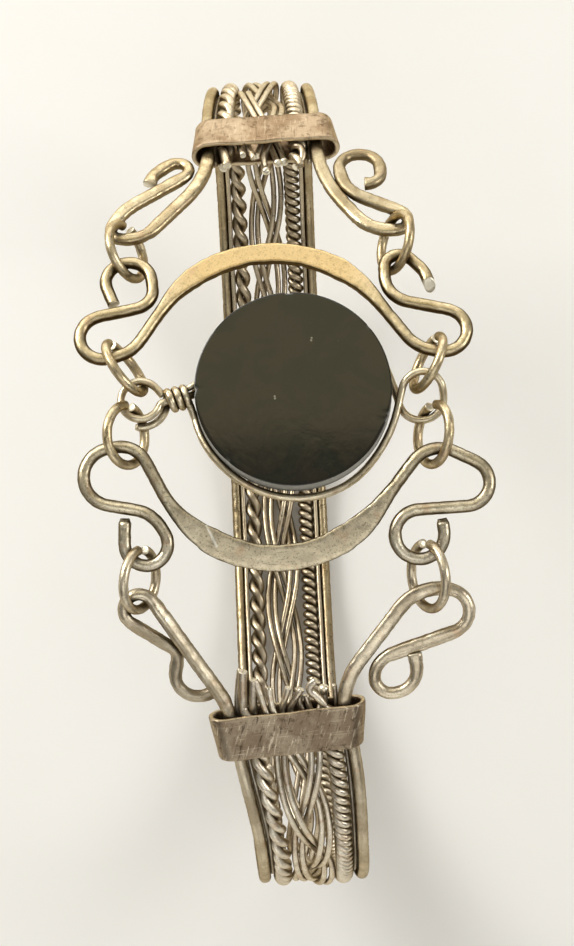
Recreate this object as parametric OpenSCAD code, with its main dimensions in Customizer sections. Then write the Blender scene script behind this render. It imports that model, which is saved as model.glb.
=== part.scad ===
// Linked wire bracelet with a flat round stone.
// Every wire is bent on a flat jig and then laid on the wrist's oval. A place on the jig is
// (across, along): across is the wrist's axis, +X, and along is measured round the oval from the
// top, towards +Y. A third number is the height above the oval, which is the middle of the
// band's thickness. The origin is the middle of the wrist, and +Z points out of the stone's face.

/* [Wrist oval] */
// Half the oval's width, to the middle of the band
oval_half_w = 36; // [32:0.5:40]
// Half the oval's height
oval_half_h = 25; // [23:0.5:28]
// Radius of the oval's two tighter sides
oval_side_r = 20; // [18:0.5:22]

/* [Wires] */
// Diameter of the thick wire of the scrolls, the arcs and the band's edges
form_wire_d = 1; // [0.85:0.05:1.1]
// Diameter of the thin straight wire beside each edge wire
inner_wire_d = 0.45; // [0.35:0.05:0.5]
// Diameter of a rope of two twisted wires
rope_d = 1.5; // [1.2:0.05:1.55]
// Diameter of the braid's wires
braid_wire_d = 0.5; // [0.35:0.05:0.5]
// Diameter of the wire round the stone
stone_wire_d = 0.6; // [0.5:0.05:0.62]

/* [Jump rings] */
// Outer diameter of a jump ring
ring_d = 5.6; // [5.4:0.05:5.8]
// Diameter of a jump ring's wire
ring_wire_d = 0.8; // [0.6:0.05:0.85]
// Angle that a jump ring's wire covers
ring_turn = 340; // [320:1:350]

/* [Hammered arcs] */
// Width of the upper arc where it is hammered flat
upper_flat_w = 1.9; // [1.2:0.05:2.1]
// Width of the lower arc where it is hammered flat
lower_flat_w = 2.2; // [1.2:0.05:2.4]
// Thickness of the hammered metal
flat_t = 0.65; // [0.5:0.05:0.9]

/* [Stone] */
// Diameter of the stone disc
stone_d = 16.1; // [15:0.1:16.2]
// Thickness of the stone disc
stone_t = 2.2; // [1.8:0.1:2.6]
// Bevel round the stone's faces
stone_bevel = 0.4; // [0.2:0.1:0.6]

/* [Band] */
// Distance along the oval from the top to the upper ferrule's mouth
upper_mouth = 24.9; // [24.5:0.1:25.5]
// The same distance to the lower ferrule's mouth
lower_mouth = 25.5; // [25:0.1:26]
// Distance from the band's middle to the middle of an edge wire
edge_off = 4.7; // [4.7:0.05:4.8]
// How much nearer to its middle each side of the band comes at the back
pinch = 0.45; // [0:0.05:0.45]
// How far the band bows sideways beyond the lower ferrule
sway = 1.7; // [0:0.1:2]
// Turns of the braid between the ferrules
braid_turns = 5; // [4:1:6]

/* [Ferrules] */
// Outer width of a ferrule's mouth
ferrule_w = 12.9; // [12.7:0.1:13.2]
// Outer width of a ferrule's other end, where the band leaves it
ferrule_back_w = 12; // [11.8:0.1:12.6]
// Outer height of a ferrule
ferrule_h = 2.7; // [2.7:0.05:3]
// Length of a ferrule along the band
ferrule_l = 3.7; // [3:0.1:3.9]
// Thickness of the ferrules' sheet
sheet_t = 0.4; // [0.3:0.05:0.42]

/* [Hidden] */
$fn = 48;

// The oval is four arcs: the sides' centres lie on Y, the top's and bottom's on Z
side_c = oval_half_w - oval_side_r;
top_r = (side_c * side_c + oval_half_h * oval_half_h - oval_side_r * oval_side_r)
    / (2 * (oval_half_h - oval_side_r));
top_drop = top_r - oval_half_h;
join_a = atan2(side_c, top_drop);
top_len = join_a * PI / 180 * top_r;
side_len = (180 - 2 * join_a) * PI / 180 * oval_side_r;
half_len = 2 * top_len + side_len;
band_len = 2 * half_len - upper_mouth - lower_mouth;

// Middle of each ferrule across the wrist
upper_mid = 0;
lower_mid = -0.15;
// The ferrules sit a little askew on the band
upper_askew = 2;
lower_askew = 4;

// Largest gap between a bend and the straight steps that stand for it
bend_sag = 0.035;
wire_sides = 8;
thin_sides = 6;
// Most that a wire runs straight between two sections
long_run = 3.5;
braid_steps = 80;
band_steps = 42;

// The stone lies flat at this height, in the middle of its thickness
stone_z = oval_half_h + 0.2;
stone_mid = [1.5, 0.4];
rim_r = stone_d / 2 + 0.15;
// The stone's wire runs this much below the stone's middle
wire_drop = 0.75;

// Jig pegs, one row each: across, along, bend radius of the wire's middle, turn, height.
// Turn is 1 where the wire goes round the peg to the left and -1 to the right.
ACROSS = 0; ALONG = 1; RADIUS = 2; TURN = 3; HEIGHT = 4;

upper_arc_pegs = [
    [-11.75, 10.85, 1.9, -1, 0.1],
    [-11.4, 9.9, 1.65, -1, 0.1],
    [-13.9, 5.8, 1.95, 1, 0],
    [-13.4, 7, 3, 1, 0],
    [-0.2, 2.8, 10.3, -1, 0],
    [13.6, 6.6, 3.3, 1, 0],
    [13.95, 5.1, 1.9, 1, 0],
    [11.8, 10.1, 2.4, -1, 0.1],
    [10.65, 11.1, 1.25, -1, 0.1],
    [10.45, 9.4, 2.5, -1, 0.1]
];
lower_arc_pegs = [
    [-10.95, -11.6, 1.75, 1, 0.1],
    [-12.3, -11.75, 3, 1, 0.1],
    [-13.45, -6.05, 2.35, -1, 0],
    [-12.8, -5.9, 2.3, -1, 0],
    [-0.15, -2.7, 10.5, 1, 0],
    [12.9, -7.6, 2.7, -1, 0],
    [15, -7.8, 1.9, -1, 0],
    [11.05, -11.8, 2, 1, 0.1]
];
// The scrolls run from the ferrule's mouth to their free ends
upper_left_scroll_pegs = [
    [-14.4, 25.3, 9.5, -1, 0],
    [-11.6, 17.75, 2.5, -1, 0],
    [-12.3, 16.2, 0.95, -1, 0],
    [-9.1, 15.6, 4, -1, 0],
    [-7.55, 22.75, 1, 1, 0.2],
    [-7.6, 20.9, 2.3, 1, 0.4]
];
upper_right_scroll_pegs = [
    [17.5, 25, 13, 1, 0],
    [10.3, 18.4, 3.4, 1, 0],
    [10.75, 15.95, 1, 1, 0],
    [9.5, 21.3, 3.15, -1, 0.3],
    [7.95, 22, 1.75, -1, 0.3],
    [8.6, 21.1, 1.1, -1, 0.3]
];
lower_left_scroll_pegs = [
    [-9.9, -26.6, 5, 1, 0.3],
    [-11.75, -16.85, 1.3, 1, 0.2],
    [-9.9, -21, 1, -1, -0.7],
    [-7.35, -22.7, 1.85, 1, -0.8],
    [-7.05, -23.6, 0.95, 1, -0.95]
];
lower_right_scroll_pegs = [
    [10.4, -25.7, 6, -1, 0],
    [12.3, -20.2, 4, -1, 0],
    [13, -18.1, 1.8, -1, 0],
    [8.95, -23.4, 2.05, 1, 0],
    [8.3, -23.3, 1.4, 1, 0.1],
    [8.45, -22.7, 1.95, 1, 0.2]
];
// The stone's wire from the end of its wraps: under the rim, right loop, over the rim, left loop
left_loop_mid = [-11, 0.35];
left_loop_r = 1.8;
stone_wire_pegs = [
    [stone_mid.x + 0.15, stone_mid.y - 0.35, rim_r + 0.2, 1, -0.3],
    [11.95, -0.2, 1.7, -1, 0.8],
    [11.9, -0.5, 1.8, -1, -0.5],
    [stone_mid.x, stone_mid.y, rim_r, 1, -0.5],
    [-7.47, 1.305, 0.5, -1, 0],
    [left_loop_mid.x, left_loop_mid.y, left_loop_r, -1, 0]
];
wrap_turns = 2.7;
wrap_pitch = 0.745;
wrap_r = stone_wire_d + 0.1;

// Jump rings, one row each: across, along, height of the middle, lean of the long axis, tilt,
// the angle at which the wire's opening lies, and how much wider than usual the ring is
upper_left_ring = [-11.9, 14, 0, 0, -32, 90, 0];
upper_right_ring = [10.5, 13.65, 0, 2, 29, 60, 0];
stone_upper_left_ring = [-12.2, 3, 0, 28, -25, 90, 0];
stone_upper_right_ring = [12.5, 2.3, 0, -22, 22, 90, 0];
stone_lower_left_ring = [-12.25, -2.65, -0.15, -6, -36, 90, 0];
stone_lower_right_ring = [12.6, -3.7, -0.3, -2, 29, 90, 0];
lower_left_ring = [-11.6, -14.45, 0.15, -6, -29, 90, 0];
lower_right_ring = [11.6, -15.2, 0.1, 1, 27, 90, 0.5];

// Where the band's wires lie beside each other, from its middle outwards
beside = 0.1;
inner_low = 0.5;
edge_reach = form_wire_d / 2 + inner_wire_d / 2 + beside;
inner_off = edge_off - sqrt(edge_reach * edge_reach - inner_low * inner_low);
rope_reach = rope_d / 2 + inner_wire_d / 2 + beside;
rope_off = inner_off - sqrt(rope_reach * rope_reach - inner_low * inner_low);
braid_half_w = rope_off - rope_d / 2 - beside;
// The two wires of a strand lie this far apart
pair_gap = 0.16;
braid_sway = braid_half_w - braid_wire_d - pair_gap / 2;
braid_rise = 0.5;
// How far each wire's cut ends stick out of the upper and the lower mouth
inner_left_out = [0.8, 3];
inner_right_out = [1, 1.5];
rope_left_out = [2.2, 2.6];
rope_right_out = [2, 1.2];
braid_out = [[1, 2.4], [2, 1.6], [1.4, 1.8]];

// Vectors
function unit(v) = v / norm(v);
function left_of(a) = [-sin(a), cos(a)];
function whole(a) = a - 360 * floor(a / 360);
function smooth(t) = let (c = max(0, min(1, t))) c * c * (3 - 2 * c);

// The oval at a place along it: its normal's angle from +Z, and its point at a height
function fold(s) = s - 2 * half_len * round(s / (2 * half_len));
function oval_a(s) = let (f = fold(s), d = abs(f)) sign(f) * (
    d <= top_len ? d / top_r * 180 / PI
    : d <= top_len + side_len ? join_a + (d - top_len) / oval_side_r * 180 / PI
    : 180 - join_a + (d - top_len - side_len) / top_r * 180 / PI);
function oval_at(u, s, h) = let (f = fold(s), a = oval_a(s), d = abs(f),
        r = d <= top_len || d > top_len + side_len ? top_r : oval_side_r,
        y = r == top_r ? 0 : sign(f) * side_c,
        z = d <= top_len ? -top_drop : r == top_r ? top_drop : 0)
    [u, y + (r + h) * sin(a), z + (r + h) * cos(a)];
function oval_n(s) = [0, sin(oval_a(s)), cos(oval_a(s))];
function on_oval(path) = [for (p = path) oval_at(p.x, p.y, p.z)];

// Heading of the straight run from one peg to the next
function heading(p, q) = let (d = [q[ACROSS] - p[ACROSS], q[ALONG] - p[ALONG]])
    atan2(d.y, d.x) - asin((q[TURN] * q[RADIUS] - p[TURN] * p[RADIUS]) / norm(d));
function sweep_of(peg, h_in, h_out) =
    let (a = whole(peg[TURN] * (h_out - h_in))) a > 350 ? 0 : a;
function peg_point(peg, h) = let (n = -peg[TURN] * peg[RADIUS] * left_of(h))
    [peg[ACROSS] + n.x, peg[ALONG] + n.y, peg[HEIGHT]];
function bend(peg, h_in, h_out) =
    let (a = sweep_of(peg, h_in, h_out),
        step = sqrt(8 * bend_sag / peg[RADIUS]) * 180 / PI,
        n = max(1, ceil(a / step)))
    [for (i = [0:n]) peg_point(peg, h_in + peg[TURN] * a * i / n)];
// The wire's path round a row of pegs, from one heading to another
function round_pegs(pegs, h_start, h_end) =
    let (last = len(pegs) - 1,
        h = [for (i = [0:last + 1])
            i == 0 ? h_start : i > last ? h_end : heading(pegs[i - 1], pegs[i])])
    [for (i = [0:last]) each bend(pegs[i], h[i], h[i + 1])];
function lead_in(path, l) = concat([path[0] - l * unit(path[1] - path[0])], path);
function lead_out(path, l) = let (n = len(path) - 1)
    concat(path, [path[n] + l * unit(path[n] - path[n - 1])]);
function backwards(path) = [for (i = [len(path) - 1:-1:0]) path[i]];
// Drops the points that lie too near the last one kept
function thinned(path) = [
    for (i = 0, take = true, kept = path[0]; i < len(path);
        i = i + 1, take = i < len(path) && norm(path[i] - kept) > 0.25,
        kept = take ? path[i] : kept)
        if (take) path[i]
];
// Splits the long runs
function split_runs(path) = concat([path[0]], [
    for (i = [1:len(path) - 1])
        let (n = max(1, ceil(norm(path[i] - path[i - 1]) / long_run)))
        for (k = [1:n]) path[i - 1] + (path[i] - path[i - 1]) * k / n
]);
// Spreads a change of height over its neighbours
function eased(path, passes) = passes == 0 ? path : let (last = len(path) - 1) eased([
    for (i = [0:last])
        let (mean = (path[max(i - 1, 0)].z + 2 * path[i].z + path[min(i + 1, last)].z) / 4)
        i == 0 || i == last ? path[i] : [path[i].x, path[i].y, mean]
], passes - 1);
function even_steps(path) = eased(split_runs(thinned(path)), 4);

// Sweeps
function tangents(p) = let (n = len(p) - 1)
    [for (i = [0:n]) unit(p[min(i + 1, n)] - p[max(i - 1, 0)])];
function square_to(v, t) = unit(v - (v * t) * t);
// A normal at each point that doesn't twist along the path
function carried(t, first) =
    [for (i = 0, n = square_to(first, t[0]); i < len(t);
        i = i + 1, n = square_to(n, t[min(i, len(t) - 1)])) n];
// A section's corners on a box of 1 by 1: a regular polygon, or one that grows square
function section(sides, flat) = sides == 8
    ? let (k = 0.414 + 0.4 * flat, m = 0.414 + 0.1 * flat)
        [[1, m], [k, 1], [-k, 1], [-1, m], [-1, -m], [-k, -1], [k, -1], [1, -m]] * 0.49
    : [for (i = [0:sides - 1]) [cos(360 * (i + 0.5) / sides), sin(360 * (i + 0.5) / sides)]]
        * 0.55;

// A solid along the path p. The section's width lies across the normal, and its height on it.
module swept(p, normals, widths, heights, sides, flats) {
    t = tangents(p);
    count = len(p);
    corners = [
        for (i = [0:count - 1])
            let (n = square_to(normals[i], t[i]), w = cross(t[i], n))
            for (c = section(sides, flats[i])) p[i] + w * c.x * widths[i] + n * c.y * heights[i]
    ];
    walls = [
        for (i = [0:count - 2])
            for (k = [0:sides - 1])
                let (a = i * sides + k, b = i * sides + (k + 1) % sides)
                [b, b + sides, a + sides, a]
    ];
    ends = [[for (k = [sides - 1:-1:0]) k], [for (k = [0:sides - 1]) (count - 1) * sides + k]];
    polyhedron(points = corners, faces = concat(walls, ends), convexity = 8);
}

module wire(p, d, sides, first = [0, 0, 1]) {
    every = [for (q = p) d];
    swept(p, carried(tangents(p), first), every, every, sides, [for (q = p) 0]);
}

// A wire bent over a row of pegs and hammered flat in its middle
module hammered_arc(path, flat_w) {
    steps = even_steps(path);
    reach = 9.5;
    flat = [for (q = steps) smooth((reach - abs(q.x)) / 4)];
    swept(on_oval(steps), [for (q = steps) oval_n(q.y)],
        [for (f = flat) form_wire_d + (flat_w - form_wire_d) * f],
        [for (f = flat) form_wire_d + (flat_t - form_wire_d) * f], wire_sides, flat);
}

// The band's path from the upper mouth round the back to the lower one
function along_band(s) = (s - upper_mouth) / band_len;
function band_mid(s) =
    let (t = max(0, min(1, along_band(s))), u = min(1, (1 - t) * band_len / 60))
    -0.3 + 6.75 * sway * u * (1 - u) * (1 - u);
function band_pinch(s) =
    let (t = max(0, min(1, along_band(s))), near = min(t, 1 - t) * band_len)
    pinch * smooth((near - 3) / 13);
function band_point(off, s, h) =
    [band_mid(s) + off - sign(off) * band_pinch(s), s, h];
// Places along the band that all its wires share, with their ends put before and after
function stations(out, n) = concat(
    [upper_mouth - out[0]],
    [for (i = [0:n]) upper_mouth + band_len * i / n],
    [upper_mouth + band_len + out[1]]);
function band_path(off, out, h = 0) = [for (s = stations(out, band_steps)) band_point(off, s, h)];

// An edge wire: upper scroll from its free end, the band, and the lower scroll to its free end
function edge_path(off, upper, lower) =
    let (over = [for (q = lower) q + [0, 2 * half_len, 0]],
        middle = [
            for (i = [1:band_steps - 1])
                band_point(off, upper_mouth + band_len * i / band_steps, 0)
        ])
    even_steps(concat(backwards(upper), middle, over));

module edge_wire(path) {
    wire(on_oval(path), form_wire_d, wire_sides, oval_n(path[0].y));
}

module band_wire(off, out, d, sides, h = 0) {
    path = band_path(off, out, h);
    wire(on_oval(path), d, sides, oval_n(path[0].y));
}

// One wire of a braid strand. The three strands swing across the band a third of a turn apart.
module braid_wire(third, side, out) {
    lay = side * (braid_wire_d + pair_gap) / 2;
    path = [
        for (s = stations(out, braid_steps))
            let (a = 360 * (braid_turns * along_band(s) + third / 3), near = band_pinch(s))
            [band_mid(s) + (braid_sway - near) * sin(a) + lay, s,
                (braid_rise + 0.25 * near) * sin(2 * a)]
    ];
    wire(on_oval(path), braid_wire_d, thin_sides, oval_n(path[0].y));
}

module braid_strand(number) {
    color("darkkhaki") {
        braid_wire(number - 1, -1, braid_out[number - 1]);
        braid_wire(number - 1, 1, braid_out[number - 1] - [0.4, 0.3]);
    }
}

module jump_ring(row) {
    mid_r = (ring_d + row[6] - ring_wire_d) / 2;
    color("tan")
    translate(oval_at(row[0], row[1], row[2]))
    rotate([-oval_a(row[1]), 0, 0])
    rotate([0, 0, row[3]])
    rotate([0, 90 + row[4], 0])
    rotate([0, 0, row[5] + (360 - ring_turn) / 2])
    rotate_extrude(angle = ring_turn)
    translate([mid_r, 0])
    circle(d = ring_wire_d);
}

// A flat oval bar that narrows towards -Z
module oval_bar(w_mouth, w_back, h, l) {
    x_mouth = (w_mouth - h) / 2;
    x_back = (w_back - h) / 2;
    lean = atan((x_mouth - x_back) / l);
    intersection() {
        union() {
            rotate([90, 0, 0])
            linear_extrude(h, center = true)
            polygon([[-x_back, -l / 2], [x_back, -l / 2], [x_mouth, l / 2], [-x_mouth, l / 2]]);
            for (side = [-1, 1])
                translate([side * (x_mouth + x_back) / 2, 0, 0])
                rotate([0, side * lean, 0])
                cylinder(h = l + 3, d = h, center = true);
        }
        cube([w_mouth + 5, h + 5, l], center = true);
    }
}

module ferrule(mid, s, askew, turn) {
    slope = (ferrule_w - ferrule_back_w) / ferrule_l;
    color("rosybrown")
    translate(oval_at(mid, s, 0))
    rotate([-oval_a(s), 0, 0])
    rotate([0, 0, askew])
    rotate([turn * 90, 0, 0])
    difference() {
        oval_bar(ferrule_w, ferrule_back_w, ferrule_h, ferrule_l);
        oval_bar(ferrule_w - 2 * sheet_t + slope, ferrule_back_w - 2 * sheet_t - slope,
            ferrule_h - 2 * sheet_t, ferrule_l + 2);
    }
}

module stone() {
    color("darkslategray")
    translate([stone_mid.x, stone_mid.y, stone_z - stone_t / 2])
    rotate_extrude()
    polygon([
        [0, 0], [stone_d / 2 - stone_bevel, 0], [stone_d / 2, stone_bevel],
        [stone_d / 2, stone_t - stone_bevel], [stone_d / 2 - stone_bevel, stone_t], [0, stone_t]
    ]);
}

// The neck between the rim and the left loop is a straight run inside the wraps
neck_h = heading(stone_wire_pegs[4], stone_wire_pegs[5]);
neck_from = peg_point(stone_wire_pegs[4], neck_h);
wrap_len = wrap_turns * wrap_pitch;
wrap_along = [-cos(neck_h), -sin(neck_h), 0];
wrap_up = [sin(neck_h), -cos(neck_h), 0];
wrap_start = neck_from - wrap_along * (wrap_len + 0.25);
// A point of the wraps, at an angle from the side that faces the upper arc
function wrap_point(a) = wrap_start + wrap_along * wrap_pitch * (a + 90) / 360
    + wrap_r * (cos(a) * wrap_up + [0, 0, sin(a)]);

module stone_wire() {
    first = -90;
    last = first + 360 * wrap_turns;
    // The wire's cut end lies below the left loop and bends into the first wrap
    dive_h = neck_h - 99;
    dive = wrap_point(first) + 0.45 * [left_of(dive_h).x, left_of(dive_h).y, 0];
    tail_pegs = [
        [left_loop_mid.x, left_loop_mid.y, left_loop_r + 0.45, 1, -0.6],
        [dive.x, dive.y, 0.45, 1, -0.66]
    ];
    tail = round_pegs(tail_pegs, 5, dive_h - 15);
    wraps = [for (a = [first + 20:24:last]) wrap_point(a)];
    rest = even_steps(round_pegs(stone_wire_pegs, -80, -66));
    path = concat(tail, wraps, rest);
    color("burlywood")
    wire([for (q = path) q + [0, 0, stone_z - wire_drop]], stone_wire_d, thin_sides);
}

module upper_arc() {
    bare = round_pegs(upper_arc_pegs, 112, -95);
    color("goldenrod") hammered_arc(lead_out(lead_in(bare, 1.2), 0.1), upper_flat_w);
}

module lower_arc() {
    bare = round_pegs(lower_arc_pegs, -95, 100);
    color("darkkhaki") hammered_arc(lead_out(lead_in(bare, 1.6), 0.7), lower_flat_w);
}

module edge_wire_left() {
    upper = round_pegs(upper_left_scroll_pegs, -92, 266);
    lower = lead_out(round_pegs(lower_left_scroll_pegs, 92, 30), 0.7);
    color("tan") edge_wire(edge_path(-edge_off, upper, lower));
}

module edge_wire_right() {
    upper = round_pegs(upper_right_scroll_pegs, -88, 165);
    lower = lead_out(round_pegs(lower_right_scroll_pegs, 88, 100), 0.6);
    color("tan") edge_wire(edge_path(edge_off, upper, lower));
}

module inner_wire_left() {
    color("tan") band_wire(-inner_off, inner_left_out, inner_wire_d, thin_sides, -inner_low);
}

module inner_wire_right() {
    color("tan") band_wire(inner_off, inner_right_out, inner_wire_d, thin_sides, -inner_low);
}

module rope_left() {
    color("khaki") band_wire(-rope_off, rope_left_out, rope_d, wire_sides);
}

module rope_right() {
    color("khaki") band_wire(rope_off, rope_right_out, rope_d, wire_sides);
}

module ferrule_upper() {
    ferrule(upper_mid, upper_mouth + ferrule_l / 2, upper_askew, 1);
}

module ferrule_lower() {
    ferrule(lower_mid, -lower_mouth - ferrule_l / 2, lower_askew, -1);
}

stone();
stone_wire();
upper_arc();
lower_arc();
jump_ring(upper_left_ring);  // ring_upper_left
jump_ring(upper_right_ring);  // ring_upper_right
jump_ring(stone_upper_left_ring);  // ring_stone_upper_left
jump_ring(stone_upper_right_ring);  // ring_stone_upper_right
jump_ring(stone_lower_left_ring);  // ring_stone_lower_left
jump_ring(stone_lower_right_ring);  // ring_stone_lower_right
jump_ring(lower_left_ring);  // ring_lower_left
jump_ring(lower_right_ring);  // ring_lower_right
edge_wire_left();
edge_wire_right();
inner_wire_left();
inner_wire_right();
rope_left();
rope_right();
braid_strand(1);  // braid_strand_1
braid_strand(2);  // braid_strand_2
braid_strand(3);  // braid_strand_3
ferrule_upper();
ferrule_lower();
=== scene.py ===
"""The wire bracelet's visual model. Lengths are in millimetres until a mesh is made."""
import math
import bpy
import numpy as np
from mathutils import Matrix, Vector


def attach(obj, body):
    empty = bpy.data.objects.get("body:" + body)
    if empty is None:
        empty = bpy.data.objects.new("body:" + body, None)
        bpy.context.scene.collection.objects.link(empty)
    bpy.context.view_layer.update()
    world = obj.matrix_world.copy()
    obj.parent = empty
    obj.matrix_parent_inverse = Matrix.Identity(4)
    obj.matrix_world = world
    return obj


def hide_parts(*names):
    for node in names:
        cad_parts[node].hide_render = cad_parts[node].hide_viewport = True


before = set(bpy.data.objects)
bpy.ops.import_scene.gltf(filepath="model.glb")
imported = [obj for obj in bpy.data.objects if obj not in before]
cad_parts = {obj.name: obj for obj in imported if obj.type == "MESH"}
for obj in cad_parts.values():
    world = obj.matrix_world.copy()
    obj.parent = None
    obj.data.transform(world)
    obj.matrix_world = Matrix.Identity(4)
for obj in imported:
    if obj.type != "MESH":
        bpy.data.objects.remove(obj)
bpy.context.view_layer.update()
MM = 0.001

# The same values as in the part's source
HALF_W, HALF_H, SIDE_R = 36.0, 25.0, 20.0
FORM_D, INNER_D, ROPE_D, BRAID_D, STONE_WIRE_D = 1.0, 0.45, 1.5, 0.5, 0.6
RING_D, RING_WIRE_D, RING_TURN = 5.6, 0.8, 340
UPPER_FLAT_W, LOWER_FLAT_W, FLAT_T = 1.9, 2.2, 0.65
STONE_D, STONE_T, BEVEL = 16.1, 2.2, 0.4
UPPER_MOUTH, LOWER_MOUTH, EDGE_OFF, PINCH, SWAY, BRAID_TURNS = 24.9, 25.5, 4.7, 0.45, 1.7, 5
FERRULE_W, FERRULE_BACK_W, FERRULE_H, FERRULE_L, SHEET = 12.9, 12.0, 2.7, 3.7, 0.4
SIDE_C = HALF_W - SIDE_R
TOP_R = (SIDE_C ** 2 + HALF_H ** 2 - SIDE_R ** 2) / (2 * (HALF_H - SIDE_R))
TOP_DROP = TOP_R - HALF_H
JOIN = math.atan2(SIDE_C, TOP_DROP)
TOP_LEN = JOIN * TOP_R
SIDE_LEN = (math.pi - 2 * JOIN) * SIDE_R
HALF_LEN = 2 * TOP_LEN + SIDE_LEN
BAND_LEN = 2 * HALF_LEN - UPPER_MOUTH - LOWER_MOUTH
# How far the band's middle lies beside the wrist's, the stretch over which the band bows, and the gap
# between two wires that lie side by side
BAND_SHIFT, BOW_LEN, BESIDE = -0.3, 60, 0.1
STONE_Z, WIRE_DROP = HALF_H + 0.2, 0.75
STONE_MID = (1.5, 0.4)
# Where each ferrule lies across the band, and how far it is turned askew
UPPER_MID, LOWER_MID, UPPER_ASKEW, LOWER_ASKEW = 0, -0.15, 2, 4

# The wire round the stone, which follows the photograph more closely than in the source
RIM_R = STONE_D / 2 + 0.15
RIM_UNDER = STONE_D / 2 - 0.2
LOOP_MID, LOOP_R = (-11.02, 0.35), 1.62
WRAP_TURNS, WRAP_PITCH, WRAP_R = 2.7, 0.64, STONE_WIRE_D + 0.16

# The pegs that each wire is bent round, in its order. The columns are across, along, radius, the way the
# wire turns round the peg (1 left, -1 right) and height.
UPPER_ARC = [
    [-11.75, 10.85, 1.9, -1, 0.1], [-11.4, 9.9, 1.65, -1, 0.1], [-13.9, 5.8, 1.95, 1, 0],
    [-13.4, 7, 3, 1, 0], [-0.2, 2.8, 10.3, -1, 0], [13.6, 6.6, 3.3, 1, 0],
    [13.95, 5.1, 1.9, 1, 0], [11.8, 10.1, 2.4, -1, 0.1], [10.65, 11.1, 1.25, -1, 0.1],
    [10.45, 9.4, 2.5, -1, 0.1]]
LOWER_ARC = [
    [-10.95, -11.6, 1.75, 1, 0.1], [-12.3, -11.75, 3, 1, 0.1], [-13.45, -6.05, 2.35, -1, 0],
    [-12.8, -5.9, 2.3, -1, 0], [-0.15, -2.7, 10.5, 1, 0], [12.9, -7.6, 2.7, -1, 0],
    [15, -7.8, 1.9, -1, 0], [11.05, -11.8, 2, 1, 0.1]]
UPPER_LEFT = [
    [-14.4, 25.3, 9.5, -1, 0], [-11.6, 17.75, 2.5, -1, 0], [-12.3, 16.2, 0.95, -1, 0],
    [-9.1, 15.6, 4, -1, 0], [-7.55, 22.75, 1, 1, 0.2], [-7.6, 20.9, 2.3, 1, 0.4]]
UPPER_RIGHT = [
    [17.5, 25, 13, 1, 0], [10.3, 18.4, 3.4, 1, 0], [10.75, 15.95, 1, 1, 0],
    [9.5, 21.3, 3.15, -1, 0.3], [7.95, 22, 1.75, -1, 0.3], [8.6, 21.1, 1.1, -1, 0.3]]
LOWER_LEFT = [
    [-9.9, -26.6, 5, 1, 0.3], [-11.75, -16.85, 1.3, 1, 0.2], [-9.9, -21, 1, -1, -0.7],
    [-7.35, -22.7, 1.85, 1, -0.8], [-7.05, -23.6, 0.95, 1, -0.95]]
LOWER_RIGHT = [
    [10.4, -25.7, 6, -1, 0], [12.3, -20.2, 4, -1, 0], [13, -18.1, 1.8, -1, 0],
    [8.95, -23.4, 2.05, 1, 0], [8.3, -23.3, 1.4, 1, 0.1], [8.45, -22.7, 1.95, 1, 0.2]]
STONE_PEGS = [
    [STONE_MID[0] + 0.15, STONE_MID[1] - 0.35, RIM_R + 0.2, 1, -0.3],
    [11.95, -0.2, 1.7, -1, 0.8], [11.9, -0.5, 1.8, -1, -0.5],
    [*STONE_MID, RIM_UNDER, 1, -0.85], [-7.0, 1.06, 0.5, -1, 0],
    [-9.16, -0.2, 0.3, 1, 0], [*LOOP_MID, LOOP_R, -1, 0]]
# The jump rings. The columns are across, along, height, lean, tilt, where the opening is, how much wider the
# ring is than the others, and how far its cut ends miss each other.
RINGS = {
    "upper_left": [-11.9, 14, 0, 0, -32, 90, 0, 0.10],
    "upper_right": [10.5, 13.65, 0, 2, 29, 60, 0, 0.08],
    "stone_upper_left": [-12.2, 3, 0, 28, -25, 90, 0, -0.10],
    "stone_upper_right": [12.5, 2.3, 0, -22, 22, 90, 0, 0.09],
    "stone_lower_left": [-12.25, -2.65, -0.15, -6, -36, 90, 0, -0.08],
    "stone_lower_right": [12.6, -3.7, -0.3, -2, 29, 90, 0, -0.10],
    "lower_left": [-11.6, -14.45, 0.15, -6, -29, 90, 0, 0.09],
    "lower_right": [11.6, -15.2, 0.1, 1, 27, 90, 0.5, -0.08]}

# How far the band's wires lie from its middle: each one beside its neighbour, with the inner wires lower
INNER_LOW = 0.5
EDGE_REACH = FORM_D / 2 + INNER_D / 2 + BESIDE
INNER_OFF = EDGE_OFF - math.sqrt(EDGE_REACH ** 2 - INNER_LOW ** 2)
ROPE_REACH = ROPE_D / 2 + INNER_D / 2 + BESIDE
ROPE_OFF = INNER_OFF - math.sqrt(ROPE_REACH ** 2 - INNER_LOW ** 2)
BRAID_HALF = ROPE_OFF - ROPE_D / 2 - BESIDE
PAIR_GAP = 0.16
BRAID_SWAY = BRAID_HALF - BRAID_D - PAIR_GAP / 2
BRAID_RISE = 0.5

# How far a bend's straight steps may lie off its curve, and an edge wire's steps between the mouths, in the
# source and here
SOURCE_SAG, FINE_SAG = 0.035, 0.0006
SOURCE_STEPS, FINE_STEPS = 42, 300

# The kinds of wire end, in steps: how wide the step is and how far past the wire, in the wire's own radii. A
# flat end is sawn, a slant one is sawn askew so that its face looks out, a pinched one is a ridge, and a ball
# is melted.
SAWN = [(0.93, 0.06), (0.84, 0.10), (0.4, 0.115)]
END_STEPS = {
    "flat": SAWN,
    "slant": SAWN,
    "pinch": [(0.9, 0.25), (0.8, 0.5), (0.75, 0.7), (0.68, 0.8)],
    "ball": [(1.12, 0.25), (1.3, 0.65), (1.38, 1.1), (1.3, 1.55), (1.05, 1.95), (0.65, 2.2), (0.25, 2.3)]}
PINCHED = 0.92


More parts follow.
